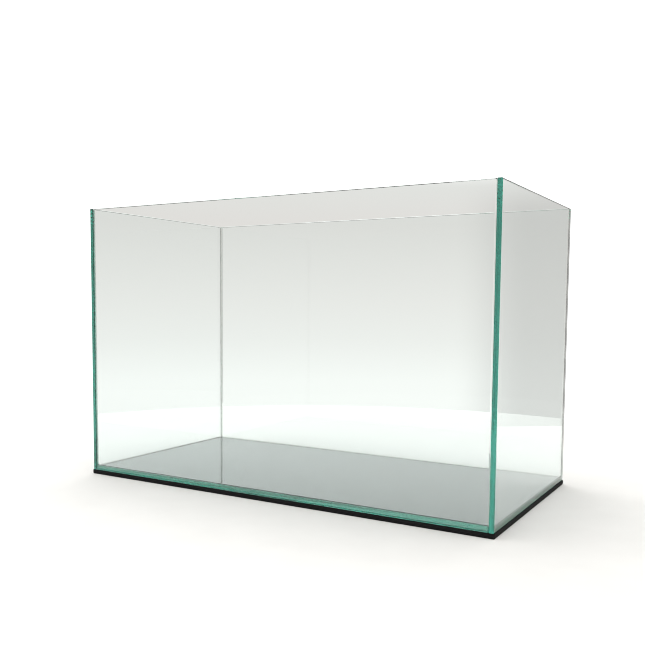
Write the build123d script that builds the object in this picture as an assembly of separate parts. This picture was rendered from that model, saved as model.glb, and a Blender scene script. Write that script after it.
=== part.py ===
from build123d import *
import os

# Rimless glass aquarium tank on its foam mat. All sizes are in millimetres.
# X runs along the tank, Y from front to back, Z up. The front faces -Y.
# The origin is the centre of the mat's underside.

# The five panes
TANK_LENGTH = 610.0  # outside, along X
TANK_DEPTH = 305.0  # outside, along Y
TANK_HEIGHT = 381.0  # the walls, from the mat to the rim
GLASS = 6.0  # thickness of every pane
ARRIS = 0.8  # width of the ground bevel along every pane edge

# The silicone seams
BOND = 1.0  # layer between a pane's edge and the face that it meets
BEAD_LEG = 1.5  # how far the inner fillet spreads over each pane
BEAD_RADIUS = 2.5  # radius of the fillet's hollow face
BEAD_STOP = 2.0  # how far below the rim the upright fillets end

# The mat
MAT_THICKNESS = 6.0
MAT_OVERHANG = 1.0  # how far the mat stands out past the glass all round
MAT_CORNER = 1.5  # corner radius of the mat in plan

# Places worked out from the sizes above
BASE_Z = MAT_THICKNESS  # lower edge of every pane
RIM_Z = BASE_Z + TANK_HEIGHT
FLOOR_Z = BASE_Z + GLASS  # top face of the bottom pane
HALF_LENGTH = TANK_LENGTH / 2
HALF_DEPTH = TANK_DEPTH / 2
INNER_X = HALF_LENGTH - GLASS  # inner face of each side pane
INNER_Y = HALF_DEPTH - GLASS  # inner face of the front and back panes
LOW_CORNER = (Align.MIN, Align.MIN, Align.MIN)


def pane(size_x, size_y, size_z, low_x, low_y, low_z):
    """A pane of glass as a box from its low corner, with an arris all round both faces."""
    plate = Pos(low_x, low_y, low_z) * Box(size_x, size_y, size_z, align=LOW_CORNER)
    faces = plate.faces().sort_by(SortBy.AREA)[-2:]
    return chamfer(faces.edges(), ARRIS)


def wall_panes():
    """The side panes run the full depth, and the front and back panes stand between them."""
    span = 2 * (INNER_X - BOND)
    return {
        "left_pane": pane(GLASS, TANK_DEPTH, TANK_HEIGHT, -HALF_LENGTH, -HALF_DEPTH, BASE_Z),
        "right_pane": pane(GLASS, TANK_DEPTH, TANK_HEIGHT, INNER_X, -HALF_DEPTH, BASE_Z),
        "front_pane": pane(span, GLASS, TANK_HEIGHT, -span / 2, -HALF_DEPTH, BASE_Z),
        "back_pane": pane(span, GLASS, TANK_HEIGHT, -span / 2, INNER_Y, BASE_Z),
    }


def bottom_pane():
    """The bottom lies inside the four walls, level with their lower edges."""
    span_x = 2 * (INNER_X - BOND)
    span_y = 2 * (INNER_Y - BOND)
    return pane(span_x, span_y, GLASS, -span_x / 2, -span_y / 2, BASE_Z)


def bond_profile():
    """The thin layer beside a pane's edge, set in by the arris at its outer end."""
    return Pos(0, ARRIS) * Rectangle(BOND, GLASS - ARRIS, align=(Align.MIN, Align.MIN))


def bead_profile():
    """The fillet in the inner corner: two legs joined by a hollow arc."""
    foot = (BEAD_LEG, GLASS)
    head = (0, GLASS + BEAD_LEG)
    legs = Polyline(head, (0, GLASS), foot)
    hollow = RadiusArc(head, foot, -BEAD_RADIUS)
    return make_face(legs + hollow)


def base_seal(half_run, half_cross):
    """A seam along X under the wall at -Y: bond and bead together, with mitred ends.

    half_run is half the seam's length, and half_cross is the distance from the tank's
    centre to the inner face of the wall that the seam runs along.
    """
    section = bond_profile() + bead_profile()
    plane = Plane(origin=(-half_run, -half_cross, BASE_Z), x_dir=(0, 1, 0), z_dir=(1, 0, 0))
    strip = extrude(plane * section, 2 * half_run)
    inset = BEAD_LEG + BOND
    plan = make_face(
        Polyline(
            (-half_run, -half_cross),
            (half_run, -half_cross),
            (half_run - inset, -half_cross + inset),
            (-half_run + inset, -half_cross + inset),
            close=True,
        )
    )
    return strip & extrude(Pos(0, 0, BASE_Z) * plan, GLASS + BEAD_LEG)


def base_seals():
    """One seam along each wall, round the bottom pane."""
    long_seam = base_seal(INNER_X, INNER_Y)
    short_seam = base_seal(INNER_Y, INNER_X)
    return {
        "front_base_seal": long_seam,
        "right_base_seal": Rot(0, 0, 90) * short_seam,
        "back_base_seal": Rot(0, 0, 180) * long_seam,
        "left_base_seal": Rot(0, 0, -90) * short_seam,
    }


def corner_seals(floor_seams):
    """Upright seams: front left, its mirror image at front right, and both turned half round.

    The bond runs from the lower arris to the rim's arris. The bead stands on the bottom pane
    and on the base seams, whose shape is cut out of it.
    """
    corner = Pos(-INNER_X, -HALF_DEPTH, 0)
    bond = extrude(corner * Pos(0, 0, BASE_Z + ARRIS) * bond_profile(), TANK_HEIGHT - 2 * ARRIS)
    bead = extrude(corner * Pos(0, 0, FLOOR_Z) * bead_profile(), RIM_Z - BEAD_STOP - FLOOR_Z)
    upright = bond + bead - floor_seams["front_base_seal"] - floor_seams["left_base_seal"]
    mirrored = mirror(upright, Plane.YZ)
    half_turn = Rot(0, 0, 180)
    return {
        "front_left_corner_seal": upright,
        "front_right_corner_seal": mirrored,
        "back_right_corner_seal": half_turn * upright,
        "back_left_corner_seal": half_turn * mirrored,
    }


def leveling_mat():
    """A flat sheet of foam, a little larger than the tank."""
    outline = RectangleRounded(
        TANK_LENGTH + 2 * MAT_OVERHANG, TANK_DEPTH + 2 * MAT_OVERHANG, MAT_CORNER
    )
    return extrude(outline, MAT_THICKNESS)


def build():
    """Every piece by its node name."""
    floor_seams = base_seals()
    return {
        "leveling_mat": leveling_mat(),
        "bottom_pane": bottom_pane(),
        **wall_panes(),
        **floor_seams,
        **corner_seals(floor_seams),
    }


os.makedirs("parts", exist_ok=True)
for name, piece in build().items():
    export_step(piece, f"parts/{name}.step")
    print(f"{name}: {piece.volume / 1000:.2f} cm3, {len(piece.solids())} solid")
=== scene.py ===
import logging
import math
from dataclasses import dataclass, field
from enum import Enum

import bpy
import numpy as np
from mathutils import Matrix, Vector


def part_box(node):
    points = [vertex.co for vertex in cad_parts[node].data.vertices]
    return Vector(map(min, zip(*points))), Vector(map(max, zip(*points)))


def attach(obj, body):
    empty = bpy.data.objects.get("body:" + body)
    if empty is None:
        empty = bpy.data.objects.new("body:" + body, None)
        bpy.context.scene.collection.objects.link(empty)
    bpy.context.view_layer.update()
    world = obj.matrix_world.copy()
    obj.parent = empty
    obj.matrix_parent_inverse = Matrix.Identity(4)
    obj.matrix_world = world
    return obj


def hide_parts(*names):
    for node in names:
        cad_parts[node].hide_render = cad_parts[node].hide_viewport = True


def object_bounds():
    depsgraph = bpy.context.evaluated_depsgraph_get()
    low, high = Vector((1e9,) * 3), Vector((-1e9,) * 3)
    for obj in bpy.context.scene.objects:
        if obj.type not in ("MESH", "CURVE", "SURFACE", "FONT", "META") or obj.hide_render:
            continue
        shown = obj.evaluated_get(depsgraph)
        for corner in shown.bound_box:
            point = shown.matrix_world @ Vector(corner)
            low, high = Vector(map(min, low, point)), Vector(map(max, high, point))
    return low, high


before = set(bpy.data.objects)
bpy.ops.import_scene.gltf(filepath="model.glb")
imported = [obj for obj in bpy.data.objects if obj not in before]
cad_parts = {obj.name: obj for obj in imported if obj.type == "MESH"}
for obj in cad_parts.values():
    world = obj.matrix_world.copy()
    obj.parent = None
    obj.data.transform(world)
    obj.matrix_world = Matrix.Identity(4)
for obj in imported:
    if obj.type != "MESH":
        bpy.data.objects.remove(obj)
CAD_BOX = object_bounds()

LOG = logging.getLogger("aquarium")
MM = 0.001
GLASS_MM = 6.0  # thickness of every pane
ARRIS_MM = 0.8  # the ground bevel along each pane edge
BOND_MM = 1.0  # silicone layer between a pane's edge and the face it meets
BEAD_LEG_MM = 1.5  # how far the inner fillet spreads over each pane
BEAD_RADIUS_MM = 2.5  # radius of the fillet's hollow face


class Face(Enum):
    """Which wall a pane or a seam belongs to, as its u, v and w directions in the frame.

    u runs along the pane, v up it (or across it, for the bottom), and w out of the tank.
    """

    FRONT = ((1, 0, 0), (0, 0, 1), (0, -1, 0))
    BACK = ((-1, 0, 0), (0, 0, 1), (0, 1, 0))
    LEFT = ((0, -1, 0), (0, 0, 1), (-1, 0, 0))
    RIGHT = ((0, 1, 0), (0, 0, 1), (1, 0, 0))
    BOTTOM = ((1, 0, 0), (0, 1, 0), (0, 0, 1))


class Shading(Enum):
    """How the faces of a mesh are shaded."""

    FLAT = "flat"
    SMOOTH = "smooth"


# ---------------------------------------------------------------- small tools


def linear(colour: str) -> tuple[float, float, float, float]:
    """Turn an sRGB hex colour into linear RGBA.

    Args:
        colour: "#rrggbb".

    Returns:
        Red, green, blue and alpha, the first three by the sRGB curve, alpha 1.
    """
    srgb = np.array([int(colour[i : i + 2], 16) for i in (1, 3, 5)]) / 255
    rgb = np.where(srgb <= 0.04045, srgb / 12.92, ((srgb + 0.055) / 1.055) ** 2.4)
    return (*rgb.tolist(), 1.0)


def add_node(
    tree: bpy.types.NodeTree, kind: str, settings: dict | None = None, links: dict | None = None
) -> bpy.types.Node:
    """Add one node with its settings and its links.

    Args:
        tree: the node tree.
        kind: the node's type name.
        settings: property or input name (or input number) to its value.
        links: input name (or number) to the output socket that feeds it.

    Returns:
        The new node.
    """
    node = tree.nodes.new(kind)
    for name, value in (settings or {}).items():
        if isinstance(name, str) and hasattr(node, name):
            setattr(node, name, value)
        else:
            node.inputs[name].default_value = value
    for name, source in (links or {}).items():
        tree.links.new(source, node.inputs[name])
    return node


def set_ramp(node: bpy.types.Node, stops: list[tuple[float, str]]) -> None:
    """Give a colour ramp its stops.

    Args:
        node: a Color Ramp node.
        stops: position and sRGB hex colour of each stop, in order.
    """
    ramp = node.color_ramp
    while len(ramp.elements) < len(stops):
        ramp.elements.new(0.5)
    for element, (place, colour) in zip(ramp.elements, stops, strict=True):
        element.position = place
        element.color = linear(colour)


def new_material(name: str) -> tuple[bpy.types.Material, bpy.types.NodeTree, bpy.types.Node]:
    """Make an empty node material.

    Args:
        name: the material's name.

    Returns:
        The material, its tree and its output node.
    """
    material = bpy.data.materials.new(name)
    material.use_nodes = True
    tree = material.node_tree
    tree.nodes.clear()
    return material, tree, add_node(tree, "ShaderNodeOutputMaterial")


def ring_quads(rings: int, points: int) -> np.ndarray:
    """Quads between closed rings of points, one ring after another.

    Args:
        rings: how many rings there are.
        points: how many points each ring has.

    Returns:
        An array of quads. Ring i, point j is joined to its neighbours j + 1 and i + 1.
    """
    i, j = np.meshgrid(np.arange(rings - 1), np.arange(points), indexing="ij")
    after = (j + 1) % points
    quads = np.stack([i * points + j, i * points + after, (i + 1) * points + after,
                      (i + 1) * points + j], -1)
    return quads.reshape(-1, 4)


def make_piece(
    name: str,
    points: np.ndarray,
    faces: list,
    material: bpy.types.Material,
    shading: Shading = Shading.SMOOTH,
    crease_deg: float = 20.0,
) -> bpy.types.Object:
    """Make a mesh object at the origin from points in the frame.

    Args:
        name: the piece's name.
        points: N x 3 points in metres.
        faces: lists or arrays of point numbers.
        material: the finish of the whole piece.
        shading: flat or smooth.
        crease_deg: edges sharper than this stay crisp under smooth shading.

    Returns:
        The new object, linked to the scene.
    """
    mesh = bpy.data.meshes.new(name)
    mesh.from_pydata(points.tolist(), [], [list(map(int, face)) for face in faces])
    mesh.materials.append(material)
    mesh.polygons.foreach_set("use_smooth", [shading is Shading.SMOOTH] * len(mesh.polygons))
    if shading is Shading.SMOOTH:
        mesh.set_sharp_from_angle(angle=math.radians(crease_deg))
    mesh.validate()
    mesh.update()
    piece = bpy.data.objects.new(name, mesh)
    bpy.context.scene.collection.objects.link(piece)
    return piece


def waves(place: np.ndarray, lengths_mm: tuple[float, ...], seed: int) -> np.ndarray:
    """A smooth uneven curve: sine waves of the given lengths with seeded phases, averaged.

    Args:
        place: where along the curve, in metres.
        lengths_mm: the wavelengths.
        seed: fixes the phases.

    Returns:
        Values from -1 to 1, one for each place.
    """
    phases = np.random.default_rng(seed).uniform(0, 2 * math.pi, len(lengths_mm))
    turns = place[..., None] / (np.array(lengths_mm) * MM)
    return np.sin(2 * math.pi * turns + phases).mean(-1)


# ---------------------------------------------------------------- finishes


@dataclass(frozen=True)
class FloatGlass:
    """Clear float glass: colourless across 6 mm, sea green along the length of a pane.

    The iron in ordinary float glass takes most from red, so light that has run down the
    inside of a pane comes out of its edge green. The faces are fire polished and very
    slightly wavy from the float bath.
    """

    name: str = "float_glass"
    ior: float = 1.52
    kept_colour: str = "#3fd4c8"  # absorption is one less this colour, times the density
    absorption_per_m: float = 10.0
    wave_mm: float = 90.0  # length of the float bath's ripple
    wave_height_mm: float = 0.004

    def make(self) -> bpy.types.Material:
        """Build the material: a smooth dielectric with an absorbing inside.

        Returns:
            The glass.
        """
        material, tree, output = new_material(self.name)
        place = add_node(tree, "ShaderNodeTexCoord")
        wave = add_node(
            tree,
            "ShaderNodeTexNoise",
            {"Scale": 1 / (self.wave_mm * MM), "Detail": 1.0, "Roughness": 0.4},
            {"Vector": place.outputs["Object"]},
        )
        bump = add_node(
            tree,
            "ShaderNodeBump",
            {"Strength": 1.0, "Distance": self.wave_height_mm * MM},
            {"Height": wave.outputs["Fac"]},
        )
        glass = add_node(
            tree,
            "ShaderNodeBsdfPrincipled",
            {"Base Color": linear("#ffffff"), "Roughness": 0.0, "IOR": self.ior,
             "Transmission Weight": 1.0},
            {"Normal": bump.outputs["Normal"]},
        )
        inside = add_node(
            tree,
            "ShaderNodeVolumeAbsorption",
            {"Color": linear(self.kept_colour), "Density": self.absorption_per_m},
        )
        tree.links.new(glass.outputs["BSDF"], output.inputs["Surface"])
        tree.links.new(inside.outputs["Volume"], output.inputs["Volume"])
        return material


@dataclass(frozen=True)
class ClearSilicone:
    """Cured clear aquarium silicone: water clear, and smooth wherever it wets the glass.

    Most of its surface lies against polished glass and takes that polish, so only a trace of
    the tooled skin's waviness is left.
    """

    name: str = "clear_silicone"
    ior: float = 1.41
    colour: str = "#fbfbf9"
    skin_roughness: float = 0.0
    ripple_mm: float = 9.0  # marks left by the tooling finger
    ripple_height_mm: float = 0.004

    def make(self) -> bpy.types.Material:
        """Build the material: a smooth dielectric with faint tooling marks.

        Returns:
            The silicone.
        """
        material, tree, output = new_material(self.name)
        place = add_node(tree, "ShaderNodeTexCoord")
        ripple = add_node(
            tree,
            "ShaderNodeTexNoise",
            {"Scale": 1 / (self.ripple_mm * MM), "Detail": 2.0, "Roughness": 0.5},
            {"Vector": place.outputs["Object"]},
        )
        bump = add_node(
            tree,
            "ShaderNodeBump",
            {"Strength": 1.0, "Distance": self.ripple_height_mm * MM},
            {"Height": ripple.outputs["Fac"]},
        )
        rubber = add_node(
            tree,
            "ShaderNodeBsdfPrincipled",
            {"Base Color": linear(self.colour), "Roughness": self.skin_roughness,
             "IOR": self.ior, "Transmission Weight": 1.0},
            {"Normal": bump.outputs["Normal"]},
        )
        tree.links.new(rubber.outputs["BSDF"], output.inputs["Surface"])
        return material


@dataclass(frozen=True)
class FoamRubber:
    """Black closed-cell EVA foam, knife cut: matte, with open cells whose hollows are given painted
    shade.

    Real cells are about 0.3 mm across, too fine to show, so they are drawn 1.2 mm across.
    """

    name: str = "eva_foam"
    cell_mm: float = 1.2
    cell_depth_mm: float = 0.12
    wall_colour: str = "#1a1a1b"
    # painted shade: the colour of the cells' hollows, darker than the walls
    pit_shade_colour: str = "#0a0a0b"

    def make(self) -> bpy.types.Material:
        """Build the material: painted shade darkens each cell towards its middle, away from its
        walls, with matching bump; a slow noise adds random patches of tone.

        Returns:
            The foam.
        """
        material, tree, output = new_material(self.name)
        place = add_node(tree, "ShaderNodeTexCoord")
        cells = add_node(
            tree,
            "ShaderNodeTexVoronoi",
            {"feature": "SMOOTH_F1", "Scale": 1 / (self.cell_mm * MM), "Smoothness": 0.4},
            {"Vector": place.outputs["Object"]},
        )
        patches = add_node(
            tree,
            "ShaderNodeTexNoise",
            {"Scale": 1 / (40 * MM), "Detail": 3.0},
            {"Vector": place.outputs["Object"]},
        )
        # cell distance, which gives the painted shade in the hollows, plus random patches of tone
        tone_and_pit_shade = add_node(
            tree,
            "ShaderNodeMath",
            {"operation": "MULTIPLY_ADD", 1: 0.5},
            {0: patches.outputs["Fac"], 2: cells.outputs["Distance"]},
        )
        # dark at the cell middles as painted shade, the plain foam colour towards the cell walls
        colour = add_node(tree, "ShaderNodeValToRGB", None, {"Fac": tone_and_pit_shade.outputs["Value"]})
        set_ramp(colour, [(0.2, self.pit_shade_colour), (0.95, self.wall_colour)])
        bump = add_node(
            tree,
            "ShaderNodeBump",
            {"Strength": 0.6, "Distance": self.cell_depth_mm * MM},
            {"Height": cells.outputs["Distance"]},
        )
        foam = add_node(
            tree,
            "ShaderNodeBsdfPrincipled",
            {"Roughness": 0.8, "Specular IOR Level": 0.12},
            {"Base Color": colour.outputs["Color"], "Normal": bump.outputs["Normal"]},
        )
        tree.links.new(foam.outputs["BSDF"], output.inputs["Surface"])
        return material


@dataclass(frozen=True)
class MattePaper:
    """White background paper: matte, with a faint fibre mottle."""

    name: str = "background_paper"
    light: str = "#f7f6f4"
    dark: str = "#f4f3f1"
    mottle_mm: float = 60.0

    def make(self) -> bpy.types.Material:
        """Build the material: a rough surface with two near whites mixed by noise.

        Returns:
            The paper.
        """
        material, tree, output = new_material(self.name)
        place = add_node(tree, "ShaderNodeTexCoord")
        mottle = add_node(
            tree,
            "ShaderNodeTexNoise",
            {"Scale": 1 / (self.mottle_mm * MM), "Detail": 4.0},
            {"Vector": place.outputs["Object"]},
        )
        colour = add_node(tree, "ShaderNodeValToRGB", None, {"Fac": mottle.outputs["Fac"]})
        set_ramp(colour, [(0.3, self.dark), (0.7, self.light)])
        paper = add_node(
            tree,
            "ShaderNodeBsdfPrincipled",
            {"Roughness": 1.0, "Specular IOR Level": 0.0},
            {"Base Color": colour.outputs["Color"]},
        )
        tree.links.new(paper.outputs["BSDF"], output.inputs["Surface"])
        return material


# ---------------------------------------------------------------- glass


@dataclass
class Pane:
    """One sheet of float glass with polished edges and an arris all round both faces."""

    node: str
    face: Face
    seed: int
    pitch_mm: float = 0.8  # spacing of points along the edges
    marks_mm: float = 0.0  # depth of the slanting marks on the level edges
    ripple_mm: float = 0.006  # depth of the polishing wheel's long waves
    wave_lengths_mm: tuple[float, ...] = (61.0, 37.0, 23.0)
    mark_lengths_mm: tuple[float, ...] = (6.3, 9.1, 4.7)
    slant_mm: float = 2.2  # how far a mark leans from mid thickness to a face
    edge_rings: int = 11  # rings of points across the flat of the edge
    crease_deg: float = 12.0

    def profile(self) -> tuple[np.ndarray, np.ndarray]:
        """Cut across the edge, from the outer face to the inner one.

        Returns:
            Inset from the pane's outline and place through its thickness (-1 to 1), in
            metres and as a share. A bevel at 45 degrees, the edge face, and a bevel again.
        """
        half = GLASS_MM / 2
        flat = 1 - ARRIS_MM / half
        across = np.linspace(flat, -flat, self.edge_rings)
        inset = np.concatenate([[ARRIS_MM], np.zeros_like(across), [ARRIS_MM]]) * MM
        return inset, np.concatenate([[1.0], across, [-1.0]])

    def outline(self, size_u: float, size_v: float) -> np.ndarray:
        """The pane's outline as points on a unit square, anticlockwise seen from outside.

        Args:
            size_u: width in metres.
            size_v: height in metres.

        Returns:
            N x 2 points whose larger coordinate is 1 or -1.
        """
        corners = np.array([(-1, -1), (1, -1), (1, 1), (-1, 1)], float)
        sides = []
        for start, end, length in zip(
            corners, np.roll(corners, -1, 0), (size_u, size_v, size_u, size_v), strict=True
        ):
            share = np.linspace(0, 1, round(length / (self.pitch_mm * MM)), endpoint=False)
            sides.append(start + share[:, None] * (end - start))
        return np.concatenate(sides)

    def ripple(self, run: np.ndarray, through: np.ndarray, level: np.ndarray) -> np.ndarray:
        """How far the polished edge sinks in from the outline.

        Long waves run along the edge. Fine slanting marks cross it: their phase moves with
        the depth through the pane. Both only cut inwards.

        Args:
            run: distance along the outline, in metres.
            through: place through the thickness, from -1 to 1.
            level: 1 on the pane's lower and upper edges and 0 on its upright ones.

        Returns:
            Depths in metres, one row for each place through the thickness.
        """
        slow = waves(run, self.wave_lengths_mm, self.seed)[None, :]
        slant = run[None, :] + through[:, None] * self.slant_mm * MM
        marks = waves(slant, self.mark_lengths_mm, self.seed + 1)
        fade = 1 - (through / np.abs(through[1])) ** 2
        depth = self.ripple_mm * (1 + slow) / 2 + self.marks_mm * level * (1 + marks) / 2
        return np.clip(fade, 0, 1)[:, None] * depth * MM

    def build(self, finish: bpy.types.Material) -> bpy.types.Object:
        """Carry the profile round the outline and close both faces.

        Args:
            finish: the glass.

        Returns:
            The pane, in place of its CAD node.
        """
        low, high = (np.array(corner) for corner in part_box(self.node))
        axes = np.array(self.face.value, float)
        middle = (low + high) / 2
        size = np.abs(axes) @ (high - low)
        inset, through = self.profile()
        unit = self.outline(size[0], size[1])
        corners = unit * size[:2] / 2
        step = np.linalg.norm(np.diff(corners, axis=0, append=corners[:1]), axis=1)
        run = np.cumsum(step) - step
        on_edge = (np.abs(through) < 1)[:, None]
        level = (np.abs(unit[:, 1]) == 1).astype(float)
        depth = inset[:, None] + np.where(on_edge, self.ripple(run, through, level), 0)
        flat = unit[None] * (size[:2] / 2 - depth[..., None])
        height = np.broadcast_to((through * size[2] / 2)[:, None, None], (*depth.shape, 1))
        points = middle + np.concatenate([flat, height], -1).reshape(-1, 3) @ axes
        rings, count = depth.shape
        # Rings go from the outer face inwards, so the quads are turned to face out.
        faces = [quad[::-1] for quad in ring_quads(rings, count)]
        faces.append(np.arange(count))
        faces.append(np.arange((rings - 1) * count, rings * count)[::-1])
        piece = make_piece(
            f"{self.node}_glass", points, faces, finish, Shading.SMOOTH, self.crease_deg
        )
        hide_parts(self.node)
        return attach(piece, "tank")


# ---------------------------------------------------------------- silicone


@dataclass
class Seam:
    """A bead of silicone along a joint: a thin bond and a hollow inner fillet.

    The cut is drawn with x away from the first pane and y away from the outside. It is the
    same for a base seam (y is height) and for a corner seam (y is depth from the front).
    """

    node: str
    seed: int
    wet_mm: float = 0.05  # how far it reaches into the glass, so that no air lies between
    step_mm: float = 4.0  # spacing of cuts along the seam
    uneven: float = 0.07  # share by which the bead's width wanders
    arc_points: int = 9
    wander_lengths_mm: tuple[float, ...] = (83.0, 47.0, 29.0)
    crease_deg: float = 25.0

    def cut(self, leg: np.ndarray, beaded: np.ndarray) -> np.ndarray:
        """The seam's outline at each place along it.

        The fillet's face is an arc through both toes, hollow towards the corner. Where the
        seam is not beaded, the arc falls onto the bond's inner end.

        Args:
            leg: bead width in millimetres at each place.
            beaded: whether there is a bead at each place.

        Returns:
            Places x points x 2, in metres, anticlockwise.
        """
        wet, ones = self.wet_mm, np.ones_like(leg)
        turn = np.linspace(0, 1, self.arc_points + 2)[None, :]
        # An arc of radius r over a chord c stands off the chord by r cos a - r cos(half).
        chord = leg * math.sqrt(2)
        half_angle = np.arcsin(chord / 2 / BEAD_RADIUS_MM)[:, None]
        sweep = (2 * turn - 1) * half_angle
        along = BEAD_RADIUS_MM * np.sin(sweep) / math.sqrt(2)
        bulge = BEAD_RADIUS_MM * (np.cos(sweep) - np.cos(half_angle)) / math.sqrt(2)
        mid = leg[:, None] / 2
        arc = np.stack([mid - along - bulge, GLASS_MM + mid + along - bulge], -1)
        arc[:, 0, 1] -= wet
        arc[:, -1, 0] -= wet
        end = np.stack([BOND_MM + wet - turn * (BOND_MM + 2 * wet), turn * 0 + GLASS_MM + wet], -1)
        inner = np.where(beaded[:, None, None], arc, end)
        outer = [
            (-wet, ARRIS_MM),
            (BOND_MM + wet, ARRIS_MM),
            (BOND_MM + wet, GLASS_MM - wet),
        ]
        fixed = np.stack([np.stack([x * ones, y * ones], -1) for x, y in outer], 1)
        return np.concatenate([fixed, inner], 1) * MM

    def leg(self, run: np.ndarray) -> np.ndarray:
        """Bead width along the seam: the nominal width with a slow wander.

        Args:
            run: distance along the seam, in metres.

        Returns:
            Widths in millimetres, one for each place.
        """
        wander = waves(run, self.wander_lengths_mm, self.seed)
        return BEAD_LEG_MM * (1 - self.uneven * (1 + wander) / 2)

    def finish_piece(
        self, rings: np.ndarray, finish: bpy.types.Material, flip: bool
    ) -> bpy.types.Object:
        """Join rings of points into a closed piece.

        Args:
            rings: places x points x 3, in metres.
            finish: the silicone.
            flip: turns the faces round.

        Returns:
            The seam, in place of its CAD node.
        """
        places, count = rings.shape[:2]
        faces = [*ring_quads(places, count), np.arange(count)[::-1],
                 np.arange((places - 1) * count, places * count)]
        if flip:
            faces = [face[::-1] for face in faces]
        points = rings.reshape(-1, 3)
        piece = make_piece(
            f"{self.node}_bead", points, faces, finish, crease_deg=self.crease_deg
        )
        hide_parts(self.node)
        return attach(piece, "tank")


@dataclass
class BaseSeam(Seam):
    """A seam along one side of the bottom pane, with mitred ends."""

    face: Face = Face.FRONT

    def build(self, finish: bpy.types.Material) -> bpy.types.Object:
        """Carry the cut along the wall; each point's run ends short by its distance from it.

        Args:
            finish: the silicone.

        Returns:
            The seam, in place of its CAD node.
        """
        u, v, w = np.array(self.face.value, float)
        low, high = (np.array(corner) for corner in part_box(self.node))
        half_run = np.abs(u) @ (high - low) / 2
        wall = max(w @ low, w @ high)  # how far out the wall's inner face is
        base = low[2] - ARRIS_MM * MM
        share = np.linspace(-1, 1, round(2 * half_run / (self.step_mm * MM)))
        cut = self.cut(self.leg(share * half_run), np.full(len(share), True))
        along = share[:, None] * (half_run - cut[..., 0] + self.wet_mm * MM)
        rings = (
            along[..., None] * u + (wall - cut[..., :1]) * w + (base + cut[..., 1:]) * v
        )
        return self.finish_piece(rings, finish, False)


@dataclass
class CornerSeam(Seam):
    """An upright seam in one corner. side and end are -1 or 1: left or right, front or back."""

    side: int = -1
    end: int = -1
    bead_stop_mm: float = 1.2  # how far below the bond's top the bead ends

    def build(self, finish: bpy.types.Material) -> bpy.types.Object:
        """Carry the cut up the corner: bond alone at both ends, bond and bead between.

        Args:
            finish: the silicone.

        Returns:
            The seam, in place of its CAD node.
        """
        low, high = (np.array(corner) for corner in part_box(self.node))
        x_wall = low[0] if self.side < 0 else high[0]
        y_outer = low[1] - ARRIS_MM * MM if self.end < 0 else high[1] + ARRIS_MM * MM
        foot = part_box("bottom_pane")[1][2] - self.wet_mm * MM
        top = high[2] - self.bead_stop_mm * MM
        run = np.linspace(foot, top, round((top - foot) / (self.step_mm * MM)))
        height = np.concatenate([[low[2], foot], run, [top, high[2]]])
        beaded = np.isin(np.arange(len(height)), np.arange(2, len(run) + 2))
        cut = self.cut(self.leg(height), beaded)
        x = x_wall - self.side * cut[..., 0]
        y = y_outer - self.end * cut[..., 1]
        z = np.broadcast_to(height[:, None], x.shape)
        rings = np.stack([x, y, z], -1)
        return self.finish_piece(rings, finish, self.side * self.end < 0)


# ---------------------------------------------------------------- mat


@dataclass
class FoamMat:
    """The levelling mat: a sheet of foam, pressed a little thinner where the glass stands."""

    node: str = "leveling_mat"
    corner_mm: float = 1.5
    lip_mm: float = 0.5  # rounding of the cut edge's two lips
    bulge_mm: float = 0.25  # how far the middle of the cut edge swells
    pressed_mm: float = 0.15
    pitch_mm: float = 2.0
    fill: float = 1.0  # the foam is full all through, with no slack

    def ring(self, half: np.ndarray, inset: float, height: float) -> np.ndarray:
        """A rounded rectangle at one height: straight runs joined by quarter circles.

        Args:
            half: half the sheet's width and depth, in metres.
            inset: how far inside the sheet's outline, in metres.
            height: metres above the ground.

        Returns:
            N x 3 points, anticlockwise from above.
        """
        radius = max(self.corner_mm * MM - inset, 0.2 * MM)
        centre = half - inset - radius
        turn = np.linspace(0, math.pi / 2, 7)
        signs = [(1, 1), (-1, 1), (-1, -1), (1, -1)]
        corners = [
            np.array(sign) * centre
            + radius * np.stack([np.cos(turn + quarter), np.sin(turn + quarter)], -1)
            for quarter, sign in zip(np.arange(4) * math.pi / 2, signs, strict=True)
        ]
        runs = []
        for k, corner in enumerate(corners):
            after = corners[(k + 1) % 4][0]
            steps = round((half * 2)[k % 2] / (self.pitch_mm * MM))
            share = np.linspace(0, 1, steps, endpoint=False)[1:, None]
            runs += [corner, corner[-1] + share * (after - corner[-1])]
        flat = np.concatenate(runs)
        return np.column_stack([flat, np.full(len(flat), height)])

    def build(self, finish: bpy.types.Material) -> bpy.types.Object:
        """Stack rings from the underside up round the cut edge and in over the top.

        Args:
            finish: the foam.

        Returns:
            The mat, in place of its CAD node.
        """
        low, high = (np.array(corner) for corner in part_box(self.node))
        half, thick = (high - low)[:2] / 2, high[2] - low[2]
        lip, swell = self.lip_mm * MM, self.bulge_mm * MM
        rise = np.linspace(0, 1, 9)
        inset = swell * (2 * rise - 1) ** 2
        edge = [(i, low[2] + lip + r * (thick - 2 * lip)) for i, r in zip(inset, rise, strict=True)]
        top, pressed = high[2], high[2] - self.pressed_mm * MM
        cut = [
            (swell + 3.0 * lip, low[2]),
            (swell + lip, low[2]),
            (swell + 0.3 * lip, low[2] + 0.3 * lip),
            *edge,
            (swell + 0.3 * lip, top - 0.3 * lip),
            (swell + 0.7 * lip, top - 0.05 * lip),
            (swell + 1.3 * lip, top - 0.2 * self.pressed_mm * MM),
            (swell + 2.4 * lip, pressed),
            (swell + 8.0 * lip, pressed),
        ]
        rings = np.stack([self.ring(half, i, z) for i, z in cut])
        count = rings.shape[1]
        faces = [*ring_quads(len(cut), count), np.arange(count)[::-1],
                 np.arange((len(cut) - 1) * count, len(cut) * count)]
        piece = make_piece("leveling_mat_foam", rings.reshape(-1, 3), faces, finish, crease_deg=60)
        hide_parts(self.node)
        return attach(piece, "mat")


# ---------------------------------------------------------------- the whole object


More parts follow.
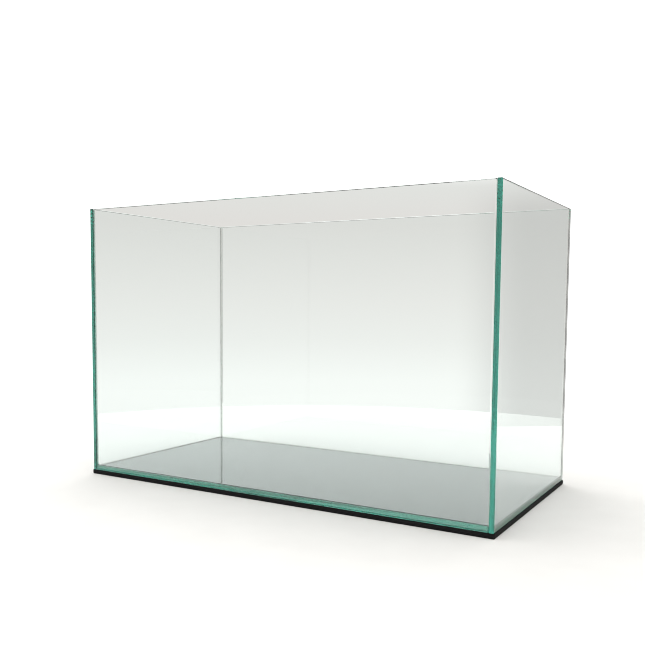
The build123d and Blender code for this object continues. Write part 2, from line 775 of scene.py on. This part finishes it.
@dataclass
class Tank:
    """Five panes and the silicone that holds them together."""

    glass: FloatGlass = field(default_factory=FloatGlass)
    silicone: ClearSilicone = field(default_factory=ClearSilicone)

    def panes(self) -> list[Pane]:
        """The panes, each with its own seed for the polishing marks.

        Returns:
            The five panes, not yet built.
        """
        return [
            Pane("bottom_pane", Face.BOTTOM, 3),
            Pane("front_pane", Face.FRONT, 11),
            Pane("back_pane", Face.BACK, 19),
            Pane("left_pane", Face.LEFT, 27, marks_mm=0.06),
            Pane("right_pane", Face.RIGHT, 35, marks_mm=0.06),
        ]

    def seams(self) -> list[Seam]:
        """The base seams and the corner seams.

        Returns:
            The eight seams, not yet built.
        """
        base = [
            BaseSeam(f"{face.name.lower()}_base_seal", 40 + k, face=face)
            for k, face in enumerate((Face.FRONT, Face.BACK, Face.LEFT, Face.RIGHT))
        ]
        names = {
            (-1, -1): "front_left",
            (1, -1): "front_right",
            (-1, 1): "back_left",
            (1, 1): "back_right",
        }
        upright = [
            CornerSeam(f"{name}_corner_seal", 50 + k, side=side, end=end)
            for k, ((side, end), name) in enumerate(names.items())
        ]
        return [*base, *upright]

    def build(self) -> list[bpy.types.Object]:
        """Build every pane and seam.

        Returns:
            The pieces.
        """
        glass, silicone = self.glass.make(), self.silicone.make()
        return [pane.build(glass) for pane in self.panes()] + [
            seam.build(silicone) for seam in self.seams()
        ]


@dataclass
class Studio:
    """A round sheet of white paper under an even bright surround."""

    floor_radius: float = 0.815
    floor_gap_mm: float = 0.1  # keeps the paper and the mat's underside apart
    floor_points: int = 96
    floor_shares: tuple[float, ...] = (0.3, 0.6, 1.0)
    lamp_place: tuple[float, float, float] = (-0.5, 0.2, 2.4)
    lamp_size: float = 1.6
    lamp_watts: float = 18.5
    paper: MattePaper = field(default_factory=MattePaper)
    # How bright the surround is at each height, as the sine of the height above the horizon.
    # A pale wall stands behind the table and lightens downwards; the ceiling is white.
    surround: tuple[tuple[float, str], ...] = (
        (-0.160, "#f2efec"),
        (-0.100, "#f0edea"),
        (-0.047, "#e6e2df"),
        (0.000, "#e1dcd9"),
        (0.056, "#dad5d2"),
        (0.100, "#d4cfcc"),
        (0.145, "#d5d3d0"),
        (0.180, "#f4f3f1"),
        (0.300, "#f0efed"),
    )
    strength: float = 1.2
    # A grey screen stands in the middle of the wall.
    screen: str = "#b5b2b0"
    screen_share: float = 0.6
    screen_edge: tuple[float, float] = (0.27, 0.36)  # sine of the turn from straight back
    screen_top: tuple[float, float] = (0.11, 0.16)  # sine of the height

    def floor(self) -> bpy.types.Object:
        """A flat disc a hair below the mat, as rings of growing radius round a point.

        Returns:
            The floor.
        """
        count, low = self.floor_points, CAD_BOX[0][2] - self.floor_gap_mm * MM
        turn = np.linspace(0, 2 * math.pi, count, endpoint=False)
        radii = self.floor_radius * np.array(self.floor_shares)
        height = np.full(count, low)
        rings = np.stack(
            [np.column_stack([r * np.cos(turn), r * np.sin(turn), height]) for r in radii]
        )
        faces = [*ring_quads(len(radii), count)[:, ::-1], np.arange(count)]
        points = rings.reshape(-1, 3)
        disc = make_piece("studio_floor", points, faces, self.paper.make(), Shading.FLAT)
        return disc

    def world(self) -> None:
        """Light the scene from all round: the eye sees plain white, and glass sees the band."""
        world = bpy.data.worlds.new("studio_surround")
        bpy.context.scene.world = world
        world.use_nodes = True
        tree = world.node_tree
        tree.nodes.clear()
        place = add_node(tree, "ShaderNodeTexCoord")
        parts = add_node(tree, "ShaderNodeSeparateXYZ", None, {0: place.outputs["Generated"]})
        low, high = self.surround[0][0], self.surround[-1][0]
        height = add_node(
            tree,
            "ShaderNodeMapRange",
            {"From Min": low, "From Max": high},
            {"Value": parts.outputs["Z"]},
        )
        band = add_node(tree, "ShaderNodeValToRGB", None, {"Fac": height.outputs["Result"]})
        set_ramp(band, [((z - low) / (high - low), colour) for z, colour in self.surround])
        across = add_node(
            tree, "ShaderNodeMath", {"operation": "ABSOLUTE"}, {0: parts.outputs["X"]}
        )
        middle = add_node(
            tree,
            "ShaderNodeMapRange",
            {"interpolation_type": "SMOOTHSTEP", "From Min": self.screen_edge[0],
             "From Max": self.screen_edge[1], "To Min": self.screen_share, "To Max": 0.0},
            {"Value": across.outputs["Value"]},
        )
        screened = add_node(
            tree,
            "ShaderNodeMapRange",
            {"interpolation_type": "SMOOTHSTEP", "From Min": self.screen_top[0],
             "From Max": self.screen_top[1], "To Max": 0.0},
            {"Value": parts.outputs["Z"], "To Min": middle.outputs["Result"]},
        )
        wall = add_node(
            tree,
            "ShaderNodeMix",
            {"data_type": "RGBA", 7: linear(self.screen)},
            {0: screened.outputs["Result"], 6: band.outputs["Color"]},
        )
        ray = add_node(tree, "ShaderNodeLightPath")
        seen = add_node(
            tree,
            "ShaderNodeMix",
            {"data_type": "RGBA", 7: linear("#ffffff")},
            {0: ray.outputs["Is Camera Ray"], 6: wall.outputs[2]},
        )
        sky = add_node(
            tree, "ShaderNodeBackground", {"Strength": self.strength}, {"Color": seen.outputs[2]}
        )
        add_node(tree, "ShaderNodeOutputWorld", None, {"Surface": sky.outputs["Background"]})

    def lamp(self, name: str, place: tuple, size: float, watts: float) -> None:
        """A square soft box aimed at the tank.

        Args:
            name: the lamp's name.
            place: where it hangs, in metres.
            size: side of the box, in metres.
            watts: its power.
        """
        data = bpy.data.lights.new(name, "AREA")
        data.shape, data.size, data.energy = "SQUARE", size, watts
        lamp = bpy.data.objects.new(name, data)
        bpy.context.scene.collection.objects.link(lamp)
        lamp.location = place
        lamp.rotation_euler = (-Vector(place)).to_track_quat("-Z", "Y").to_euler()

    def build(self) -> None:
        """Make the floor, the surround and one soft overhead lamp."""
        self.floor()
        self.world()
        self.lamp("overhead_softbox", self.lamp_place, self.lamp_size, self.lamp_watts)
        LOG.info("studio ready")


@dataclass
class Viewpoint:
    """A camera on a tripod a little below the rim, looking at the front right corner."""

    azimuth_deg: float = 30.58
    elevation_deg: float = 4.43
    roll_deg: float = 0.44
    distance: float = 1.1
    lens_mm: float = 43.19
    rise: float = 0.0626  # lens shift, which keeps the uprights nearly upright
    aim_mm: tuple[float, float, float] = (3.99, -11.05, -24.1)  # from the object's middle

    def build(self) -> bpy.types.Object:
        """Stand back from the aim point along the view and turn the camera to face it.

        Returns:
            The camera.
        """
        low, high = CAD_BOX
        aim = (low + high) / 2 + Vector(self.aim_mm) * MM
        turn, tilt = math.radians(self.azimuth_deg), math.radians(self.elevation_deg)
        level = math.cos(tilt)
        back = Vector((math.sin(turn) * level, -math.cos(turn) * level, math.sin(tilt)))
        data = bpy.data.cameras.new("camera")
        data.lens, data.sensor_width, data.shift_y = self.lens_mm, 36.0, self.rise
        data.clip_start, data.clip_end = 0.01, 100.0
        camera = bpy.data.objects.new("camera", data)
        bpy.context.scene.collection.objects.link(camera)
        facing = (-back).to_track_quat("-Z", "Y").to_matrix().to_4x4()
        roll = Matrix.Rotation(math.radians(self.roll_deg), 4, "Z")
        camera.matrix_world = Matrix.Translation(aim + back * self.distance) @ facing @ roll
        bpy.context.scene.camera = camera
        return camera


def set_light_paths() -> None:
    """Let light bounce far enough to run down the inside of a pane and out of its edge."""
    scene = bpy.context.scene
    scene.view_settings.view_transform = "Standard"
    cycles = scene.cycles
    cycles.max_bounces = 64
    cycles.transmission_bounces = 64
    cycles.glossy_bounces = 64
    cycles.diffuse_bounces = 3
    cycles.transparent_max_bounces = 16
    cycles.filter_width = 1.0


def main() -> None:
    """Build the tank, the mat, the studio and the camera, and report each piece."""
    logging.basicConfig(level=logging.INFO, format="%(name)s: %(message)s")
    pieces = [*Tank().build(), FoamMat().build(FoamRubber().make())]
    for piece in pieces:
        LOG.info("%s: %d faces", piece.name, len(piece.data.polygons))
    Studio().build()
    Viewpoint().build()
    set_light_paths()


if __name__ == "__main__":
    main()
